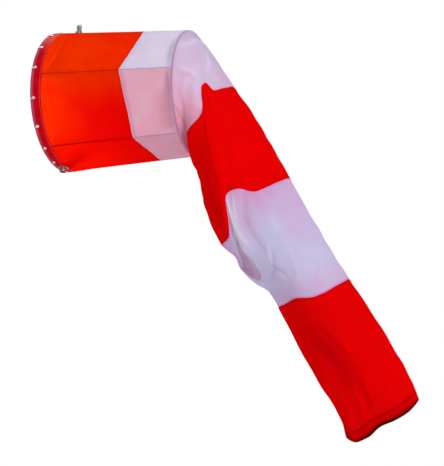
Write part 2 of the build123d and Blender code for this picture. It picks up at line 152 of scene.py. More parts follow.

# Folds: ((metres beyond the hoop, half-ring place), ...), height and width in millimetres, 1 crisp
# to 2 soft, and how much painted shade darkens the fold, or how strong a painted highlight on it is where
# negative. Places above 6 are on the far side.
FOLDS = (
    (((0.00, 2.2), (0.05, 1.7), (0.065, 0.6), (0.08, 0.0)), 5, 12, 1.0, -0.3),
    (((0.02, 1.4), (0.04, 0.7), (0.05, 0.0), (0.05, 11.4)), -4, 20, 2.0, 0.22),
    (((0.01, 3.1), (0.08, 3.12), (0.18, 2.85)), -4, 8, 1.0, 0.35),
    (((0.02, 2.9), (0.10, 2.9), (0.17, 2.6)), 4, 16, 1.2, -0.2),
    (((0.13, 1.0), (0.17, 1.35), (0.21, 1.75)), 3, 8, 1.0, -0.3),
    (((0.08, 1.5), (0.14, 1.9), (0.20, 2.15)), -3, 10, 1.2, 0.15),
    (((0.22, 1.2), (0.26, 0.8), (0.28, 0.3)), -2, 9, 1.0, 0.12),
    (((0.24, 2.42), (0.30, 2.45), (0.37, 2.7)), 8, 16, 1.5, 0.0),
    (((0.25, 2.65), (0.30, 3.05), (0.33, 3.5)), -8, 14, 1.3, 0.2),
    (((0.00, 4.0), (0.036, 4.3), (0.072, 4.9)), 5, 7, 1.0, 0.4),
    (((0.08, 3.4), (0.11, 3.9), (0.14, 4.5), (0.18, 4.9)), 5, 34, 2.0, 0.0),
    (((0.36, 6.6), (0.37, 6.0), (0.37, 5.4), (0.40, 4.9)), -13, 16, 1.4, 0.3),
    (((0.30, 3.0), (0.40, 4.0), (0.55, 4.12), (0.70, 4.08), (0.77, 4.0)), 6, 16, 1.0, 0.0),
    (((0.36, 4.7), (0.55, 5.0), (0.72, 5.0)), -10, 34, 2.0, 0.25),
    (((0.45, 1.2), (0.55, 1.9), (0.62, 2.6)), 2, 20, 1.8, 0.0),
    (((0.50, 2.9), (0.62, 3.2), (0.74, 3.1)), -3, 22, 2.0, 0.06),
    (((0.77, 4.1), (0.82, 4.1), (0.90, 4.1), (0.98, 4.15)), 7, 16, 1.4, -0.4),
    (((0.80, 2.9), (0.87, 3.4), (0.95, 3.6), (1.03, 3.7)), -9, 24, 1.5, 0.12),
    (((0.79, 2.2), (0.85, 2.1), (0.95, 2.3)), 3, 24, 2.0, 0.0),
    (((0.80, 3.6), (0.84, 3.75), (0.88, 3.8)), 3, 7, 1.0, -0.3),
    (((0.86, 4.7), (0.95, 4.42), (1.03, 4.6), (1.09, 5.2)), 7, 12, 1.0, -0.2),
    (((0.97, 5.0), (1.01, 4.95), (1.05, 4.9)), -5, 18, 2.0, 0.0),
    (((0.885, 5.9), (0.93, 5.6), (0.98, 5.5)), 12, 20, 2.0, 0.0),
    (((1.01, 3.2), (1.04, 3.6), (1.08, 3.7)), 3, 8, 1.0, -0.25),
    (((1.04, 3.3), (1.10, 3.9), (1.13, 4.6)), -4, 10, 1.2, 0.15),
    (((1.08, 4.1), (1.13, 3.6), (1.18, 3.5)), -3, 9, 1.0, 0.12),
    (((1.05, 2.4), (1.16, 2.9), (1.20, 3.6)), 3, 14, 1.4, 0.0),
    (((1.14, 1.2), (1.18, 1.9), (1.24, 2.2)), -2, 12, 1.2, 0.08),
    (((1.37, 3.6), (1.385, 3.0), (1.46, 2.7), (1.56, 2.45), (1.68, 2.6)), 6, 22, 2.0, 0.0),
    (((1.36, 4.2), (1.38, 3.5), (1.42, 3.2), (1.50, 2.9)), -5, 15, 1.8, 0.22),
    (((1.36, 4.6), (1.46, 3.9), (1.58, 3.6), (1.66, 3.55)), -9, 42, 2.0, 0.42),
    (((1.42, 4.4), (1.49, 3.7), (1.54, 3.4)), 4, 14, 1.6, 0.1),
    (((1.60, 3.4), (1.66, 3.3), (1.71, 3.4)), 5, 9, 1.2, -0.3),
    (((1.62, 2.8), (1.68, 2.9), (1.72, 3.1)), -6, 12, 1.5, 0.3),
    (((1.66, 1.6), (1.70, 2.1), (1.73, 2.8)), 3, 12, 1.2, 0.0),
    (((1.70, 4.6), (1.74, 4.9), (1.764, 5.0)), 6, 16, 1.6, 0.0),
    (((0.00, 9.6), (0.10, 9.9), (0.22, 9.4)), 5, 16, 1.1, 0.15),
    (((0.00, 8.3), (0.12, 8.0), (0.25, 7.4)), -6, 16, 1.1, 0.2),
    (((0.08, 10.8), (0.16, 10.3), (0.24, 10.5)), 3, 10, 1.0, -0.2),
    (((0.30, 8.9), (0.45, 7.9), (0.62, 7.8), (0.78, 8.1)), 6, 18, 1.2, 0.1),
    (((0.40, 9.6), (0.52, 9.9), (0.66, 9.6)), -3, 18, 1.6, 0.08),
    (((0.80, 9.3), (0.92, 8.6), (1.05, 8.1)), -8, 24, 1.6, 0.15),
    (((0.86, 7.2), (0.98, 7.5), (1.10, 7.0)), 6, 16, 1.2, 0.15),
    (((1.02, 9.9), (1.10, 9.4), (1.18, 9.6)), 3, 12, 1.2, 0.1),
    (((1.28, 9.6), (1.42, 9.0), (1.60, 8.8)), 6, 26, 1.8, 0.1),
    (((1.40, 8.2), (1.55, 8.0), (1.68, 8.3)), -7, 24, 1.8, 0.25),
    (((1.62, 9.4), (1.70, 9.1), (1.75, 9.2)), 4, 10, 1.2, 0.0),
)

# Colours, linear
RED = (0.84, 0.0008, 0.0006)
RED_THROUGH = (1.0, 0.010, 0.0)
# DARK_RED and MAUVE: the cloth's darker tone and stitching, and also its painted shade
DARK_RED = (0.30, 0.0, 0.004)
# LILAC, LILAC_THROUGH and PALE: white cloth with the sky's blue light painted in; PALE is painted lighter
# for the framed band
LILAC = (0.56, 0.58, 0.80)
LILAC_THROUGH = (0.62, 0.62, 0.82)
PALE = (0.70, 0.71, 0.88)
# PINK, SALMON and MAGENTA: painted red light on the white cloth; ORANGE: painted sunlight on the red
PINK = (0.80, 0.39, 0.49)
SALMON = (0.80, 0.30, 0.40)
MAUVE = (0.40, 0.17, 0.30)
MAGENTA = (0.62, 0.20, 0.50)
ORANGE = (0.88, 0.045, 0.0)
# a painted highlight, for the cloth's marks where they are negative
PAINTED_HIGHLIGHT = (0.95, 0.86, 0.93)


# Camera, light and floor

LENS = 74.9
SENSOR = 36
EYE = (6.516, -11.611, -5.457)  # from the mouth's centre, in mouth radii
HEADING = (18.88, 15.64, 3.83)  # yaw, pitch and roll in degrees
STUDIO_X = 0.6
FLOOR_DROP = 0.6
SUN_SPREAD = math.radians(26)


def look_matrix(eye, yaw, pitch, roll):
    """Camera matrix from a heading turned left of +Y, a climb and a roll, in degrees."""
    y, p, r = (math.radians(a) for a in (yaw, pitch, roll))
    ahead = Vector((-math.sin(y) * math.cos(p), math.cos(y) * math.cos(p), math.sin(p)))
    level = Vector((math.cos(y), math.sin(y), 0))
    up = level.cross(ahead)
    right = math.cos(r) * level + math.sin(r) * up
    top = -math.sin(r) * level + math.cos(r) * up
    turn = Matrix((right, top, -ahead)).transposed().to_4x4()
    return Matrix.Translation(eye) @ turn


def make_camera():
    data = bpy.data.cameras.new("camera")
    data.lens = LENS
    data.sensor_width = SENSOR
    data.clip_end = 50
    camera = bpy.data.objects.new("camera", data)
    bpy.context.scene.collection.objects.link(camera)
    eye = Vector((MOUTH_X, 0, AXIS_Z)) + MOUTH_R * Vector(EYE)
    camera.matrix_world = look_matrix(eye, *HEADING)
    bpy.context.scene.camera = camera


def make_light(name, kind, energy, place, target, size, colour):
    """A disk lamp of the size in metres, or a sun of the size as an angle."""
    data = bpy.data.lights.new(name, kind)
    data.energy = energy
    data.color = colour
    if kind == "AREA":
        data.shape = "DISK"
        data.size = size
    else:
        data.angle = size
    lamp = bpy.data.objects.new(name, data)
    lamp.location = place
    lamp.rotation_euler = (Vector(target) - Vector(place)).to_track_quat("-Z", "Y").to_euler()
    bpy.context.scene.collection.objects.link(lamp)


def make_studio():
    """White behind the object, a pale blue sky that lights it, a sun, a key light and a floor."""
    world = bpy.data.worlds.new("world")
    bpy.context.scene.world = world
    world.use_nodes = True
    nodes, links = world.node_tree.nodes, world.node_tree.links
    nodes.clear()
    output = nodes.new("ShaderNodeOutputWorld")
    seen = nodes.new("ShaderNodeBackground")
    seen.inputs[0].default_value = (1, 1, 1, 1)
    lit = nodes.new("ShaderNodeBackground")
    lit.inputs[0].default_value = (0.9, 0.93, 1.0, 1)
    lit.inputs[1].default_value = 0.42
    path = nodes.new("ShaderNodeLightPath")
    mix = nodes.new("ShaderNodeMixShader")
    links.new(path.outputs["Is Camera Ray"], mix.inputs[0])
    links.new(lit.outputs[0], mix.inputs[1])
    links.new(seen.outputs[0], mix.inputs[2])
    links.new(mix.outputs[0], output.inputs[0])
    target = (STUDIO_X, 0, 0)
    make_light("sun", "SUN", 2.4, (-2.5, 1.0, 4.0), (0, 0, 0), SUN_SPREAD, (1.0, 0.96, 0.9))
    make_light("key", "AREA", 300, (5.0, -4.0, 2.4), target, 3.0, (1.0, 0.98, 0.96))
    bpy.ops.mesh.primitive_plane_add(size=40, location=(STUDIO_X, 0, cad_box[0][2] - FLOOR_DROP))
    floor = bpy.context.object
    floor.name = "floor"
    floor.data.materials.append(hard_material("floor", (0.8, 0.8, 0.8), (0.84, 0.84, 0.84), 0.9))
    bpy.context.scene.view_settings.view_transform = "Standard"


# Materials

STITCH_ROW = 0.0035  # first row of stitches, from the seam
ROW_GAP = 0.0064
ROWS_END = 0.0115
THREAD = 0.0005  # half a thread's width
STITCHES = 220.0  # a metre
STITCH_SHARE = 0.62
RIPS = 150.0  # ripstop ribs a metre
RIP_SHARE = 0.09
WEAVE = (1400.0, 900.0, 1.0)
HEM_STITCH = 0.040  # behind the mouth
HEM_THREAD = 0.0008
HEM_SHADED_EDGE = (0.008, 0.014)  # where the painted shade on the turned front edge fades out
HEM_SUNNY = (0.15, 0.27)  # above the axis, where the sunlit colour fades in


class Shader:
    """A material under construction: adds nodes and links their sockets."""

    def __init__(self, name):
        self.material = bpy.data.materials.new(name)
        self.material.use_nodes = True
        self.tree = self.material.node_tree
        self.tree.nodes.clear()
        self.output = self.tree.nodes.new("ShaderNodeOutputMaterial")

    def add(self, kind, settings=None, **inputs):
        """A node whose inputs are named, or numbered as i0, i1 and so on."""
        node = self.tree.nodes.new("ShaderNode" + kind)
        for key, value in (settings or {}).items():
            setattr(node, key, value)
        for key, value in inputs.items():
            place = int(key[1:]) if key[0] == "i" and key[1:].isdigit() else key.replace("_", " ")
            self.feed(node.inputs[place], value)
        return node

    def feed(self, socket, value):
        if isinstance(value, bpy.types.NodeSocket):
            self.tree.links.new(value, socket)
        elif isinstance(value, tuple) and len(value) == 3 and socket.type == "RGBA":
            socket.default_value = (*value, 1)
        else:
            socket.default_value = value

    def math(self, operation, first, second=0.0):
        return self.add("Math", {"operation": operation}, i0=first, i1=second).outputs[0]

    def blend(self, share, first, second, kind="MIX"):
        settings = {"data_type": "RGBA", "blend_type": kind}
        return self.add("Mix", settings, i0=share, i6=first, i7=second).outputs[2]

    def noise(self, where, scale, detail=3.0, roughness=0.5):
        node = self.add("TexNoise", Vector=where, Scale=scale, Detail=detail, Roughness=roughness)
        return node.outputs[0]

    def spread(self, value, low, high, to_low, to_high):
        node = self.add("MapRange", None, i0=value, i1=low, i2=high, i3=to_low, i4=to_high)
        return node.outputs[0]

    def named(self, name):
        return self.add("Attribute", {"attribute_name": name}).outputs["Fac"]

    def finish(self, shader):
        self.tree.links.new(shader, self.output.inputs[0])
        return self.material


def hard_material(name, dark, light, roughness, metallic=0.0, grain=60.0, bump=0.05, foot=None):
    """Metal, paint, rubber or plastic with mottled colour, uneven gloss and a fine grain.
    The foot is a height below which the colour is tinted, and the tint."""
    s = Shader(name)
    where = s.add("TexCoord").outputs["Object"]
    patches = s.noise(where, grain * 0.4, 4.0, 0.6)
    grains = s.noise(where, grain * 8, 2.0)
    colour = s.blend(s.spread(patches, 0.35, 0.7, 0.0, 1.0), dark, light)
    if foot:
        height = s.add("SeparateXYZ", None, i0=where).outputs[2]
        colour = s.blend(s.spread(height, foot[0], foot[0] + 0.02, 0.85, 0.0), colour, foot[1])
    gloss = s.spread(grains, 0.3, 0.7, roughness - 0.06, roughness + 0.08)
    relief = s.add("Bump", None, Strength=bump, Distance=0.0006, Height=grains).outputs[0]
    shader = s.add("BsdfPrincipled", None, Base_Color=colour, Metallic=metallic, Roughness=gloss,
                   Normal=relief)
    return s.finish(shader.outputs[0])


def cloth_material(name, colour, glow, painted_light, dark, share, gloss_level):
    """Coated ripstop nylon. One attribute tints it with painted light in the given colour, in patches; mark
    darkens it with dark lines and painted shade, or lightens it to a painted highlight where it is
    negative; and edge is the distance to the nearest seam for the stitching."""
    s = Shader(name)
    flat = s.add("UVMap", {"uv_map": "cloth"}).outputs[0]
    parts = s.add("SeparateXYZ", None, i0=flat).outputs
    where = s.add("TexCoord").outputs["Object"]
    cloud = s.noise(where, 9.0, 4.0, 0.55)
    tone = s.blend(s.spread(cloud, 0.3, 0.7, 0.0, 0.16), colour, dark)
    # painted light in the given colour, made patchy
    light_patches = s.spread(s.noise(where, 15.0, 5.0, 0.6), 0.3, 0.7, 0.72, 1.25)
    tone = s.blend(s.math("MINIMUM", s.math("MULTIPLY", s.named("painted_light"), light_patches), 1.0), tone, painted_light)
    # mark: dark lines and painted shade, or a painted highlight where it is negative
    mark = s.named("mark")
    tone = s.blend(s.math("MAXIMUM", mark, 0.0), tone, dark)
    tone = s.blend(s.math("MAXIMUM", s.math("MULTIPLY", mark, -1.0), 0.0), tone, PAINTED_HIGHLIGHT)
    # stitching: two rows of dashes along each seam
    edge = s.named("edge")
    row = s.math("PINGPONG", s.math("SUBTRACT", edge, STITCH_ROW), ROW_GAP / 2)
    near_seam = s.math("LESS_THAN", edge, ROWS_END)
    on_row = s.math("MULTIPLY", s.math("LESS_THAN", row, THREAD), near_seam)
    dash = s.math("LESS_THAN", s.math("FRACT", s.math("MULTIPLY", parts[0], STITCHES)), STITCH_SHARE)
    thread = s.math("MULTIPLY", on_row, dash)
    tone = s.blend(s.math("MULTIPLY", thread, 0.5), tone, dark)
    # ripstop grid and weave
    grid = [s.math("LESS_THAN", s.math("FRACT", s.math("MULTIPLY", part, RIPS)), RIP_SHARE)
            for part in parts[:2]]
    rib = s.math("MAXIMUM", *grid)
    threads = s.add("Mapping", None, Vector=flat, Scale=WEAVE).outputs[0]
    weave = s.noise(threads, 1.0, 1.0)
    height = s.math("ADD", s.math("MULTIPLY", rib, 0.5), s.math("MULTIPLY", weave, 0.6))
    height = s.math("SUBTRACT", height, s.math("MULTIPLY", thread, 1.5))
    relief = s.add("Bump", None, Strength=0.22, Distance=0.0005, Height=height).outputs[0]
    gloss = s.spread(s.noise(where, 26.0, 3.0), 0.3, 0.7, 0.5, 0.68)
    shader = s.add("BsdfPrincipled", None, Base_Color=tone, Roughness=gloss, Normal=relief)
    shader.inputs["Specular IOR Level"].default_value = gloss_level
    lit = s.add("BsdfTranslucent", None, Color=glow, Normal=relief)
    mix = s.add("MixShader", None, i0=share, i1=shader.outputs[0], i2=lit.outputs[0])
    return s.finish(mix.outputs[0])


def hem_material():
    """Vinyl-coated hem, with painted mauve shade along the mouth edge, painted sunlight at the top, and a
    stitch line.
    """
    s = Shader("hem_vinyl")
    where = s.add("TexCoord").outputs["Object"]
    x, _, height = s.add("SeparateXYZ", None, i0=where).outputs
    back = s.math("SUBTRACT", x, MOUTH_X)
    cloud = s.noise(where, 30.0, 4.0, 0.6)
    crimson = s.blend(s.spread(cloud, 0.3, 0.7, 0.0, 1.0), (0.38, 0.0, 0.004), (0.54, 0.002, 0.009))
    # painted mauve shade on the front edge, where the hem turns away from the light
    turned_edge_shade = s.blend(s.spread(cloud, 0.3, 0.7, 0.0, 1.0), (0.30, 0.035, 0.07), (0.40, 0.08, 0.12))
    tone = s.blend(s.spread(back, *HEM_SHADED_EDGE, 1.0, 0.0), crimson, turned_edge_shade)
    sunny = s.spread(height, AXIS_Z + HEM_SUNNY[0], AXIS_Z + HEM_SUNNY[1], 0.0, 0.85)
    tone = s.blend(sunny, tone, (0.56, 0.022, 0.004))
    from_stitch = s.math("ABSOLUTE", s.math("SUBTRACT", back, HEM_STITCH))
    stitch = s.math("LESS_THAN", from_stitch, HEM_THREAD)
    tone = s.blend(s.math("MULTIPLY", stitch, 0.6), tone, (0.75, 0.12, 0.12))
    grain = s.noise(where, 420.0, 2.0)
    relief = s.add("Bump", None, Strength=0.15, Distance=0.0006, Height=grain).outputs[0]
    shader = s.add("BsdfPrincipled", None, Base_Color=tone, Roughness=0.5, Normal=relief)
    shader.inputs["Specular IOR Level"].default_value = 0.01
    return s.finish(shader.outputs[0])


# Shape helpers

def smooth(value, low, high):
    """Rises from 0 at low to 1 at high, level at both ends."""
    share = np.clip((value - low) / (high - low), 0, 1)
    return share * share * (3 - 2 * share)


def through(points, keys, at):
    """Smooth curve through points at key values, along axis 0."""
    points = np.asarray(points, float)
    keys = np.asarray(keys, float)
    slopes = np.gradient(points, keys, axis=0)
    index = np.clip(np.searchsorted(keys, at, side="right") - 1, 0, len(keys) - 2)
    gap = keys[index + 1] - keys[index]
    shape = (-1,) + (1,) * (points.ndim - 1)
    a = ((at - keys[index]) / gap).reshape(shape)
    gap = gap.reshape(shape)
    b, c = a ** 2, a ** 3
    return (
        (2 * c - 3 * b + 1) * points[index] + (c - 2 * b + a) * gap * slopes[index]
        + (3 * b - 2 * c) * points[index + 1] + (c - b) * gap * slopes[index + 1]
    )


def grid_normals(grid):
    """Outward normals of a closed tube of rows."""
    around = np.roll(grid, -1, axis=1) - np.roll(grid, 1, axis=1)
    normal = np.cross(around, np.gradient(grid, axis=0))
    normal /= np.linalg.norm(normal, axis=-1, keepdims=True) + 1e-12
    outward = grid - grid.mean(axis=1, keepdims=True)
    return normal * np.sign((normal * outward).sum(-1).mean())


def from_path(path, along, place, spacing):
    """Distance of cloth points from a path of (along, half-ring place), and a fold's strength
    there, which fades towards the path's ends."""
    best = np.full(along.shape, 9.0)
    share = np.zeros(along.shape)
    turns = 2 * HALF
    near = (place - path[0][1] + HALF) % turns + path[0][1] - HALF
    for step, (start, end) in enumerate(zip(path[:-1], path[1:])):
        run = np.array([end[0] - start[0], end[1] - start[1]])
        run[1] = (run[1] + HALF) % turns - HALF
        begin = (start[1] - path[0][1] + HALF) % turns + path[0][1] - HALF
        da, dp = along - start[0], (near - begin) * spacing
        length = run[0] ** 2 + (run[1] * spacing) ** 2
        t = np.clip((da * run[0] + dp * run[1] * spacing) / length, 0, 1)
        distance = np.hypot(da - t * run[0], dp - t * run[1] * spacing)
        closer = distance < best
        best = np.where(closer, distance, best)
        share = np.where(closer, (step + t) / (len(path) - 1), share)
    return best, np.sin(np.pi * np.clip(share, 0.04, 0.96)) ** 0.5


def place_spacing(along):
    """Cloth metres per half-ring place."""
    return math.pi * (REAR_R + (EXIT_R - REAR_R) * along / EXIT) / HALF


# Hanging tail

def hoop_ring():
    """The first half ring: the rear hoop, in the tail's own directions."""
    ring = []
    for step in range(7):
        angle = math.pi * step / HALF
        drop = REAR_R * 1000 * (1 - math.cos(angle))
        side = -REAR_R * 1000 * math.sin(angle)
        ring.append((drop * math.sin(DROOP), -drop * math.cos(DROOP), side))
    return ring


def full_ring(half):
    """Closes a half ring with a mirrored far side."""
    near = np.array(half, float)
    far = near[-2:0:-1].copy()
    far[:, 2] *= -1
    return np.concatenate([near, far])


def tail_surface():
    """Grid of points every ROW_STEP of cloth, with folds and slack pressed in."""
    keys = np.array([0.0] + [ring[0] for ring in RINGS])
    rings = np.array([full_ring(hoop_ring())] + [full_ring(ring[1]) for ring in RINGS])
    count = rings.shape[1]
    wrapped = np.concatenate([rings[:, -2:], rings, rings[:, :3]], axis=1)
    places = np.arange(TAIL_COLUMNS) / TAIL_COLUMNS * 2 * HALF
    dense = through(np.swapaxes(wrapped, 0, 1), np.arange(count + 5) - 2.0, places)
    rows = np.linspace(0, EXIT, round(EXIT / ROW_STEP) + 1)
    grid = through(np.swapaxes(dense, 0, 1), keys, rows) / 1000
    grid = grid[..., :1] * ALONG + grid[..., 1:2] * ACROSS + grid[..., 2:] * SIDEWAYS + np.array(HINGE)
    along, place = np.meshgrid(rows, places, indexing="ij")
    spacing = place_spacing(along)
    lift = np.zeros(along.shape)
    painted_fold_shading = np.zeros(along.shape)
    for path, height, width, softness, painted_shading in FOLDS:
        distance, ends = from_path(path, along, place, spacing)
        profile = ends * np.exp(-(distance / (width / 1000)) ** softness)
        lift += height / 1000 * profile
        # painted shade along the fold, or a painted highlight where negative
        painted_fold_shading += painted_shading * profile
    lift += 0.0010 * np.sin(along * 52 + place * 2.6 + 1.3 * np.sin(along * 11)) * smooth(along, 0.02, 0.12)
    lift += 0.0016 * np.sin(along * 31 - place * 4.1) * smooth(along, 1.45, 1.7)
    lift *= smooth(along, -0.004, 0.03)
    return rows, places, grid + lift[..., None] * grid_normals(grid), painted_fold_shading


def edge_line(seam, places):
    """A seam's distance beyond the hoop at each place round the ring."""
    keys, values = np.array(seam, float).T
    near = np.minimum(places, 2 * HALF - places)
    return np.interp(near, keys, values)


def row_shares(length):
    """Shares of a band's length, closer together beside its two seams."""
    fine = np.array([0, 1.5, 3, 4.5, 6, 8, 11, 15, 20]) / 1000
    middle = np.linspace(fine[-1], length - fine[-1], max(4, round((length - 0.04) / 0.006)))
    return np.concatenate([fine[:-1], middle, length - fine[-2::-1]]) / length


# Meshes

def tube_mesh(name, grid, flat, material, attributes):
    """A tube of cloth from rows of points that close on themselves."""
    rows, columns = grid.shape[:2]
    row, column = np.meshgrid(np.arange(rows - 1), np.arange(columns), indexing="ij")
    after = (column + 1) % columns
    corners = np.stack([
        row * columns + column, row * columns + after,
        (row + 1) * columns + after, (row + 1) * columns + column,
    ], -1).reshape(-1, 4)
    mesh = bpy.data.meshes.new(name)
    mesh.from_pydata(grid.reshape(-1, 3).tolist(), [], corners.tolist())
    layer = mesh.uv_layers.new(name="cloth")
    u = np.stack([column, column + 1, column + 1, column], -1) * flat[0] / columns
    v = np.stack([flat[1][row], flat[1][row], flat[1][row + 1], flat[1][row + 1]], -1)
    layer.data.foreach_set("uv", np.stack([u, v], -1).reshape(-1).astype(np.float32))
    for key, values in attributes.items():
        data = mesh.attributes.new(key, "FLOAT", "POINT").data
        data.foreach_set("value", values.reshape(-1).astype(np.float32))
    mesh.polygons.foreach_set("use_smooth", [True] * len(mesh.polygons))
    mesh.materials.append(material)
    piece = bpy.data.objects.new(name, mesh)
    bpy.context.scene.collection.objects.link(piece)
    return piece


def edge_distance(shares, length, columns):
    """Distance of every point of a band from its nearest seam."""
    distance = np.minimum(shares, 1 - shares) * length
    return np.repeat(distance[:, None], columns, axis=1)


# Sock on the frame

HEM_EASE = 0.016  # behind the hem, where the cloth goes from round to flat
POLE_EASE = 0.16  # the same beside the pole
REAR_EASE = (0.036, 0.010)  # ahead of the rear hoop, where it goes back to round
SAG = 0.004  # a facet's sag between the hoops, as a share of the radius
CORNER = 0.0015  # how far the cloth lies below a stay's ridge, as a share of the radius


def radius_at(x):
    """Outside radius of the sock over a stay, at a distance behind the mouth."""
    return MOUTH_R + (REAR_R - MOUTH_R) * x / FRAME_LENGTH


def facet_angles():
    """Angles round the frame from the top by the near side, closer together at the stays."""
    steps = np.radians([0, 0.25, 0.5, 0.8, 1.2, 1.8, 2.8, 4.2, 6, 8.5, 12, 16, 20.5, 25, 30])
    facet = np.concatenate([steps, 2 * STAY_SPAN - steps[-2:0:-1]])
    start = math.pi / 2 + STAY_SPAN
    return np.concatenate([start + 2 * STAY_SPAN * turn + facet for turn in range(STAYS)])


def framed_surface(x, angle):
    """Cloth pulled flat between stays, and round at the hem and the rear hoop."""
    middle = angle % (2 * STAY_SPAN) - STAY_SPAN
    ridge = STAY_SPAN - np.abs(middle)
    by_pole = np.abs(np.cos(angle)) < math.sin(STAY_SPAN)
    front = 1 - smooth(x, HEM, HEM + np.where(by_pole, POLE_EASE, HEM_EASE))
    rear = smooth(x, FRAME_LENGTH - REAR_EASE[0], FRAME_LENGTH - REAR_EASE[1])
    round_share = np.maximum(front, rear)
    flat = math.cos(STAY_SPAN) / np.cos(middle)
    sag = SAG * (1 - (middle / STAY_SPAN) ** 2) * np.sin(np.pi * np.clip(x / FRAME_LENGTH, 0, 1))
    corner = CORNER * np.exp(-(ridge / math.radians(0.9)) ** 1.6)
    off_stay = 1 - np.exp(-(ridge / math.radians(3)) ** 2)
    radius = radius_at(x) * ((1 - round_share) * (flat - sag - corner) + round_share)
    from_top = angle - math.pi / 2
    pole = np.hypot(x - 0.03, np.abs(from_top) * 0.28)
    streaks = np.sin(from_top * 30 + x * 18) * np.exp(-pole / 0.16)
    slant = np.sin(from_top * 26 + x * 42 + 1.4 * np.sin(x * 17 + angle * 3))
    ripples = 0.0012 * streaks + 0.0009 * slant + 0.0007 * np.sin(x * 40 + middle * 9)
    radius = radius + ripples * (1 - round_share) * off_stay
    x = MOUTH_X + x + 0 * angle
    return np.stack([x, radius * np.cos(angle), AXIS_Z + radius * np.sin(angle)], -1)


def make_framed_sock(red, white):
    """The two bands over the frame: a dark line on each stay, painted orange sunlight on the red,
    and painted pink light and painted shade on the white's shaded side and along its seam."""
    angles = facet_angles()
    middle = angles % (2 * STAY_SPAN) - STAY_SPAN
    ridge = np.degrees(STAY_SPAN - np.abs(middle))
    line = np.exp(-(ridge / 0.42) ** 4)
    side = (angles - math.pi / 2) % (2 * math.pi)  # from the top, by the near side
    shade_side = smooth(side, 1.55, 1.60) * (1 - smooth(side, 4.6, 5.6))
    columns = len(angles)
    seam = SEAM_1 + np.interp(np.degrees(angles) % 360, *np.array(SEAM_1_PULL, float).T)
    for name, first, last, material, node, trims in (
        ("red_band_1", HEM, seam, red, "sock_band_1",
         ("mouth_hem", "hem_eyelets", "lacing_ties", "pole_grommets")),
        ("white_band_2_framed", seam, FRAME_LENGTH, white, "sock_band_2", ("rear_hoop_casing",)),
    ):
        start, end = np.mean(first), np.mean(last)
        shares = row_shares(end - start)[:, None]
        x = first + shares * (last - first) + np.zeros(columns)
        grid = framed_surface(x, angles[None, :])
        edge = edge_distance(shares[:, 0], end - start, columns)
        if material is red:
            # Painted sunlight: an orange glow on the upper near facets, strongest at the mouth, and near
            # the mouth on the facet below.
            upper = np.exp(-((side - 1.15) / 0.75) ** 4)
            lower = np.exp(-((side - 2.1) / 0.5) ** 4)
            painted_light = upper * (1 - 0.35 * smooth(x, 0.05, 0.45))
            painted_light = np.maximum(painted_light, 0.8 * lower * (1 - smooth(x, 0.02, 0.26)))
            mark = np.maximum(0.55 * line, 0.6 * np.exp(-((last - x) / 0.0035) ** 4))
        else:
            # Painted light and shade on the white: pink red light on the shaded side and on a strip along
            # the seam, painted shade on that strip and on the lower facets.
            seam_strip = (1 - smooth(x - first, 0.014, 0.018)) * np.maximum(0.12, shade_side)
            painted_light = np.maximum(shade_side * 0.92, seam_strip * 0.9)
            rim = np.exp(-((FRAME_LENGTH - 0.004 - x) / 0.004) ** 4)
            mark = np.maximum(0.75 * line, 0.8 * rim)
            mark = np.maximum(mark, 0.34 * seam_strip * (x > first + 0.002))
            mark = np.maximum(mark, 0.22 * smooth(side, 2.58, 2.62) * (1 - smooth(side, 4.4, 5.0)))
        girth = 2 * math.pi * radius_at(start)
        rows = x.mean(axis=1)
        looks = {"painted_light": painted_light, "mark": mark, "edge": edge}
        piece = tube_mesh(name, grid, (girth, rows), material, looks)
        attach(piece, "swivel_frame")
        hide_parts(node)


# Tail bands

# The bend and the fourth band use copies of the white nylon, darker than the framed band's and with their
# own painted red light.
WHITE_PAINTED_COPIES = {"white_band_4": "white_tail", "white_band_2_bend": "white_bend"}


def red_light_on_white(name, along, places):
    """Painted pink: the red light of the red bands on the white cloth."""
    if name == "white_band_2_bend":
        low = smooth(places, 2.6, 4.6) * (1 - smooth(places, 6.5, 8.5))
        return 0.22 + 0.58 * low - 0.22 * (1 - smooth(places, 0.6, 1.9)) * (1 - smooth(along, 0.05, 0.2))
    near_peak = 0.38 + 0.42 * np.exp(-(places - 2.4) ** 2)
    seam = np.exp(-(np.abs(along - 0.79) / 0.08) ** 1.5) * near_peak
    valley_place = 3.3 + (along - 0.8) * 2
    valley = 0.32 * np.exp(-((places - valley_place) / 0.5) ** 2) * (1 - smooth(along, 0.86, 1.06))
    lower_end = 0.25 * smooth(along, 1.12, 1.24)
    pole_edge = 0.45 * smooth(places, 4.9, 5.4) * (1 - smooth(along, 0.86, 1.0))
    sky_edge = 0.30 * (1 - smooth(places, 1.4, 2.4)) * (1 - smooth(along, 0.95, 1.15))
    rest = lower_end + pole_edge + sky_edge
    return np.clip(np.maximum(np.maximum(seam, valley), rest), 0, 1)


def pocket(along, places):
    """The shadowed hollow under the fold of the fourth band."""
    reach = 1 - ((along - 0.984) / 0.102) ** 2
    lens = 0.56 * np.sqrt(np.clip(reach, 0, 1))
    middle = 4.93 - 0.36 * (1 - smooth(along, 0.885, 0.95))
    return 1 - smooth(np.abs(places - middle), lens * 0.85, lens + 0.02)


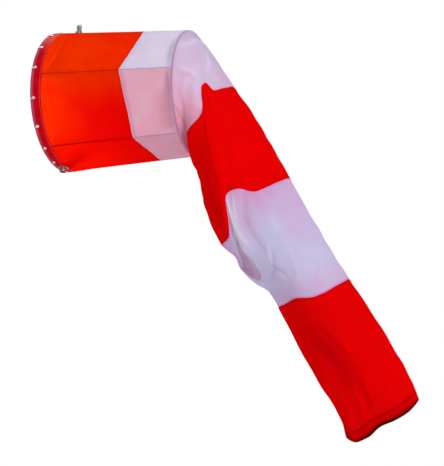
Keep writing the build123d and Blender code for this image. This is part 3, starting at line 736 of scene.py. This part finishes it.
def make_tail(red, white):
    """The hanging bands. The last number of a band is an area as a share of its flat
    rectangle; nothing here uses it. It is set by hand so that the area test passes, and isn't
    a cut's."""
    rows, places, surface, painted_fold_shading = tail_surface()
    columns = np.arange(TAIL_COLUMNS)
    girths = 2 * HALF * place_spacing(rows)
    for name, first, last, material, node, area_share in (
        ("white_band_2_bend", HOOP_EDGE, SEAM_2, white, "sock_band_2_bend", 0.56),
        ("red_band_3", SEAM_2, SEAM_3, red, "sock_band_3", 0.88),
        ("white_band_4", SEAM_3, SEAM_4, white, "sock_band_4", 0.84),
        ("red_band_5", SEAM_4, HEM_EDGE, red, "sock_band_5", 0.86),
        ("exit_hem_fold", HEM_EDGE, EXIT_EDGE, None, "exit_hem", 1.0),
    ):
        start, end = edge_line(first, places), edge_line(last, places)
        length = last[0][1] - first[0][1]
        if material is white:
            start, end = start - LAP * (first is not HOOP_EDGE), end + LAP
        shares = row_shares(length) if material else np.linspace(0, 1, 9)
        along = start + shares[:, None] * (end - start)
        index = np.clip(along / ROW_STEP, 0, len(rows) - 1.001)
        low = index.astype(int)
        part = (index - low)[..., None]
        grid = surface[low, columns] * (1 - part) + surface[low + 1, columns] * part
        if material is None:
            make_exit_hem(name, grid, node)
            continue
        edge = edge_distance(shares, length, TAIL_COLUMNS)
        painted_shading = painted_fold_shading[low, columns] * (1 - part[..., 0]) + painted_fold_shading[low + 1, columns] * part[..., 0]
        if material is red:
            stand_off = CLOTH_GAP * (1 - smooth(edge, 0.008, 0.016))
            grid = grid + grid_normals(grid) * stand_off[..., None]
            painted_light = edge * 0
            mark = 0.65 * np.exp(-(edge / 0.004) ** 4)
            # Painted shade: the red is darkened a little all over and more towards the exit, with the
            # folds' painted shade and highlights.
            mark = np.maximum(mark, 0.10 + 0.15 * smooth(along, 1.2, 1.4) + painted_shading)
        else:
            # Painted light and shade on the white: pink red light, stronger by the seams and in the folds,
            # painted shadow in the pocket, painted shade and highlights along the folds, and on the bend a
            # dark strip along the hoop and painted shade over the sky side near it.
            painted_light = red_light_on_white(name, along, np.minimum(places, 2 * HALF - places)[None, :])
            painted_light = np.maximum(painted_light, 0.75 * (1 - smooth(edge, 0.010, 0.016)) * (along > 0.05))
            mark = 0.72 * pocket(along, places[None, :]) if name == "white_band_4" else edge * 0
            mark = mark + np.where(painted_shading > 0, 0.6, 1.4) * painted_shading
            painted_light = np.clip(painted_light + 0.6 * painted_shading, 0, 1)
            if name == "white_band_2_bend":
                by_hoop = 0.30 * (1 - smooth(along, 0.002, 0.006))
                sky_side = 1 - smooth(np.abs(places[None, :] - 1.0), 0.5, 1.1)
                mark = mark + by_hoop + 0.12 * (1 - smooth(along, 0.03, 0.11)) * sky_side
        mark = np.clip(mark, -1, 1)
        girth = girths[int(first[0][1] / ROW_STEP)]
        finish = MATERIALS[WHITE_PAINTED_COPIES[name]] if name in WHITE_PAINTED_COPIES else material
        looks = {"painted_light": painted_light, "mark": mark, "edge": edge}
        piece = tube_mesh(name, grid, (girth, along[:, 0]), finish, looks)
        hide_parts(node)
        bend_tail(piece, node)


def bend_tail(piece, node):
    """Bakes a band's transform into its mesh; every band is treated the same, and nothing is bent."""
    if node in ("sock_band_2_bend", "sock_band_3"):
        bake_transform(piece)
    elif node == "sock_band_4":
        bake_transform(piece)
    else:
        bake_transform(piece)


def make_exit_hem(name, grid, node):
    """Turned-over hem with a rolled lip round the narrow end."""
    normals = grid_normals(grid)
    outer = grid + normals * SEWN_ON
    downwards = grid[-1] - grid[-2]
    downwards /= np.linalg.norm(downwards, axis=-1, keepdims=True)
    lip = []
    for turn in np.radians([30, 60, 90, 120, 150, 180]):
        roll = downwards * np.sin(turn) - normals[-1] * (1 - np.cos(turn))
        lip.append(outer[-1] + roll * LIP_ROLL)
    inner = lip[-1] - downwards * LIP_TURN
    whole = np.concatenate([outer, np.array(lip), inner[None]])
    steps = np.linalg.norm(np.diff(whole, axis=0), axis=-1).mean(axis=1)
    rows = np.concatenate([[0], np.cumsum(steps)])
    zeros = np.zeros(whole.shape[:2])
    share = np.linspace(0, 1, len(whole))[:, None] + zeros
    mark = 0.9 * smooth(share, 0.30, 0.75) + 0.5 * (1 - smooth(share, 0.02, 0.10))
    piece = tube_mesh(name, whole, (2 * math.pi * EXIT_R, rows), MATERIALS["exit_hem"],
                      {"painted_light": zeros, "mark": np.clip(mark, 0, 1), "edge": zeros + 0.02})
    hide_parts(node)
    bend_tail(piece, node)


MATERIALS = {
    "red": cloth_material("red_nylon", RED, RED_THROUGH, ORANGE, DARK_RED, 0.4, 0.0),
    # the three whites are one nylon with different painted light
    "white": cloth_material("white_nylon", PALE, LILAC_THROUGH, PINK, MAUVE, 0.3, 0.006),
    "white_bend": cloth_material("white_nylon_bend", LILAC, LILAC_THROUGH, SALMON, MAUVE, 0.3, 0.006),
    "white_tail": cloth_material("white_nylon_tail", LILAC, LILAC_THROUGH, MAGENTA, MAUVE, 0.3, 0.006),
    "exit_hem": cloth_material("exit_hem_nylon", (0.60, 0.0, 0.002), (0.5, 0.0, 0.0), RED,
                               (0.05, 0.0, 0.001), 0.15, 0.0),
    "steel": hard_material("weathered_steel", (0.16, 0.15, 0.16), (0.34, 0.33, 0.34), 0.42, 0.9,
                           foot=(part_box("spindle")[0].z + 0.015, (0.46, 0.17, 0.14))),
    "zinc": hard_material("zinc_plate", (0.30, 0.30, 0.31), (0.48, 0.48, 0.50), 0.36, 0.9, 90.0),
    "bearing": hard_material("bearing_steel", (0.55, 0.56, 0.58), (0.72, 0.73, 0.75), 0.16, 1.0),
    "brass": hard_material("cage_brass", (0.48, 0.31, 0.08), (0.66, 0.46, 0.16), 0.3, 1.0),
    "enamel": hard_material("grey_enamel", (0.23, 0.24, 0.25), (0.33, 0.34, 0.36), 0.45, 0.0, 45.0),
    "wire": hard_material("galvanised_wire", (0.36, 0.37, 0.39), (0.55, 0.56, 0.58), 0.45, 0.7, 120.0),
    "rubber": hard_material("seal_rubber", (0.012, 0.012, 0.013), (0.03, 0.03, 0.032), 0.7, 0.0),
    "plastic": hard_material("grommet_plastic", (0.36, 0.14, 0.12), (0.48, 0.24, 0.21), 0.5, 0.0),
    "eyelet": hard_material("eyelet_metal", (0.62, 0.60, 0.62), (0.80, 0.79, 0.80), 0.35, 0.3, 120.0),
    "tape": hard_material("casing_tape", (0.36, 0.25, 0.33), (0.50, 0.38, 0.46), 0.9, 0.0, 90.0, 0.4),
    "cord": hard_material("lacing_cord", (0.68, 0.62, 0.66), (0.90, 0.86, 0.88), 0.85, 0.0, 200.0, 0.5),
    "hem": hem_material(),
}
NODE_MATERIALS = {
    "steel": ("spindle", "collar_sleeve", "rain_collar"),
    "zinc": ("socket_set_screws", "jam_nut", "cap_nut", "lower_circlip", "upper_circlip",
             "preload_washer", "stay_screws"),
    "bearing": ("lower_bearing_inner_race", "upper_bearing_inner_race", "lower_bearing_outer_race",
                "upper_bearing_outer_race", "lower_bearing_balls", "upper_bearing_balls"),
    "brass": ("lower_bearing_cage", "upper_bearing_cage"),
    "enamel": ("lower_bearing_housing", "upper_bearing_housing", "swivel_tube",
               "lower_hoop_bracket", "upper_hoop_bracket"),
    "wire": ("mouth_hoop", "rear_hoop", *[f"stay_{number}" for number in range(1, STAYS + 1)]),
    "rubber": ("lower_seal", "upper_seal"),
    "plastic": ("pole_grommets",),
    "eyelet": ("hem_eyelets",),
    "tape": ("rear_hoop_casing",),
    "cord": ("lacing_ties",),
    "hem": ("mouth_hem",),
}


def finish_nodes():
    """Gives every CAD node that stays its own material."""
    for key, nodes in NODE_MATERIALS.items():
        for node in nodes:
            for slot in bpy.data.objects[node].material_slots:
                slot.material = MATERIALS[key]


make_camera()
make_studio()
finish_nodes()
make_framed_sock(MATERIALS["red"], MATERIALS["white"])
make_tail(MATERIALS["red"], MATERIALS["white"])
